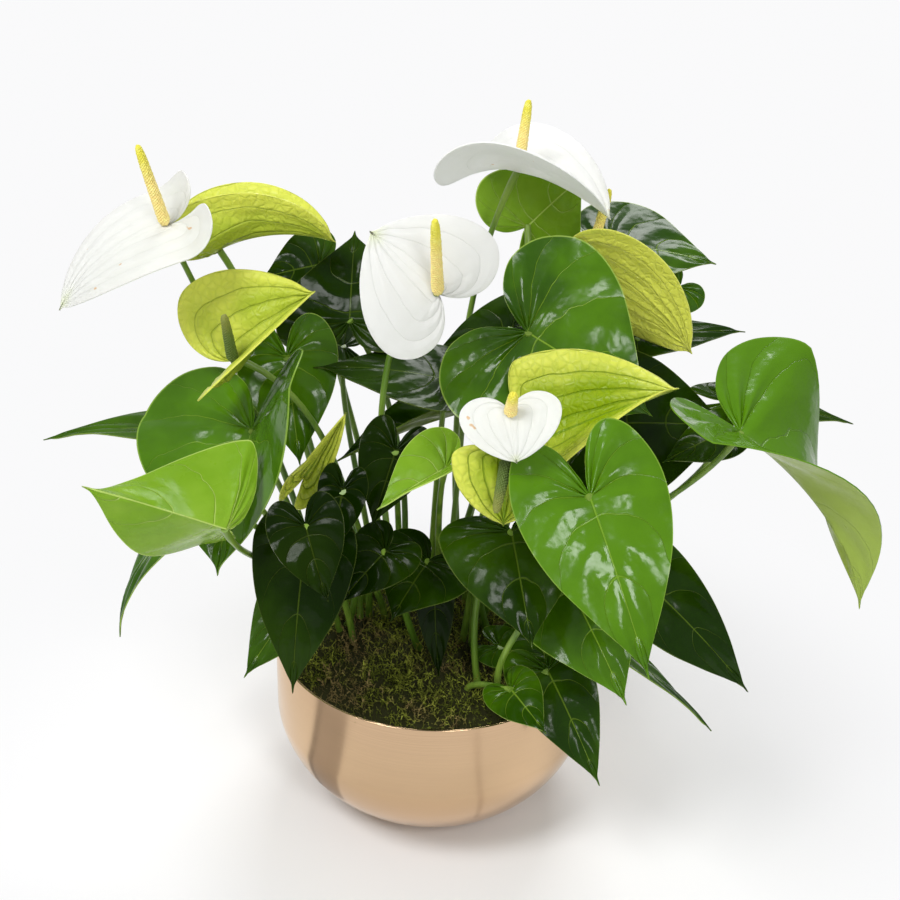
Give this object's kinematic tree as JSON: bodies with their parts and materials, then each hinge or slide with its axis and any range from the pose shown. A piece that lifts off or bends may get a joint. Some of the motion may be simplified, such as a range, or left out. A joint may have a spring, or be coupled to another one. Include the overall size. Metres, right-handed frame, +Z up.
{
  "type": "potted anthurium",
  "caption": "Bushy anthurium with glossy heart-shaped leaves and white and lime spathes in a low round gold-coloured metal bowl topped with moss.",
  "frame": {"origin": "middle of the flat foot that the bowl stands on", "axes": "+Z up along the bowl's axis, -Y towards the side the plant faces, +X to the right seen from that side"},
  "size_m": [0.622, 0.3917, 0.5552],
  "materials": {
    "brass": "spun champagne-gold metal, satin outside",
    "soil": "dark crumbly potting soil",
    "moss": "fine olive moss",
    "leaf": "glossy dark green leaf on a green stalk",
    "young_leaf": "lighter green young leaf or pale underside",
    "white_spathe": "matt white petal-like blade",
    "lime_spathe": "greenish yellow petal-like blade",
    "spadix": "rough yellow flower spike",
    "green_spadix": "rough dark green flower spike"
  },
  "bodies": {
    "root": {"leaf_back_left_far": "leaf", "leaf_back_left_low": "leaf", "leaf_back_left_upright": "leaf", "leaf_back_middle": "leaf", "leaf_back_right": "leaf", "leaf_back_right_small": "leaf", "leaf_back_top_pale": "young_leaf", "leaf_centre_large": "leaf", "leaf_front_dark": "leaf", "leaf_front_glossy": "leaf", "leaf_front_left": "leaf", "leaf_front_left_lower": "leaf", "leaf_front_left_small": "leaf", "leaf_front_right": "leaf", "leaf_inner_centre": "leaf", "leaf_inner_left": "leaf", "leaf_inner_left_small": "leaf", "leaf_left_back": "leaf", "leaf_left_drooping": "leaf", "leaf_left_inner": "leaf", "leaf_left_large": "leaf", "leaf_left_pale": "young_leaf", "leaf_low_front": "leaf", "leaf_low_middle": "leaf", "leaf_low_right": "leaf", "leaf_low_small": "leaf", "leaf_middle_broad": "leaf", "leaf_middle_dark": "leaf", "leaf_middle_folded": "leaf", "leaf_middle_young": "young_leaf", "leaf_right_back": "leaf", "leaf_right_dark": "leaf", "leaf_right_far": "leaf", "leaf_right_large": "leaf", "leaf_right_low": "leaf", "leaf_right_lower": "leaf", "leaf_right_narrow": "leaf", "moss": "moss", "pot": "brass", "soil": "soil", "spadix_centre_green": "green_spadix", "spadix_centre_white": "spadix", "spadix_left_green": "green_spadix", "spadix_left_white": "spadix", "spadix_right_lime": "spadix", "spadix_small_white": "spadix", "spadix_top_white": "spadix", "spathe_centre_green": "lime_spathe", "spathe_centre_lime": "lime_spathe", "spathe_centre_white": "white_spathe", "spathe_left_green": "lime_spathe", "spathe_left_lime": "lime_spathe", "spathe_left_white": "white_spathe", "spathe_right_lime": "lime_spathe", "spathe_small_white": "white_spathe", "spathe_top_white": "white_spathe", "spathe_young_rolled": "lime_spathe"}
  },
  "joints": []
}
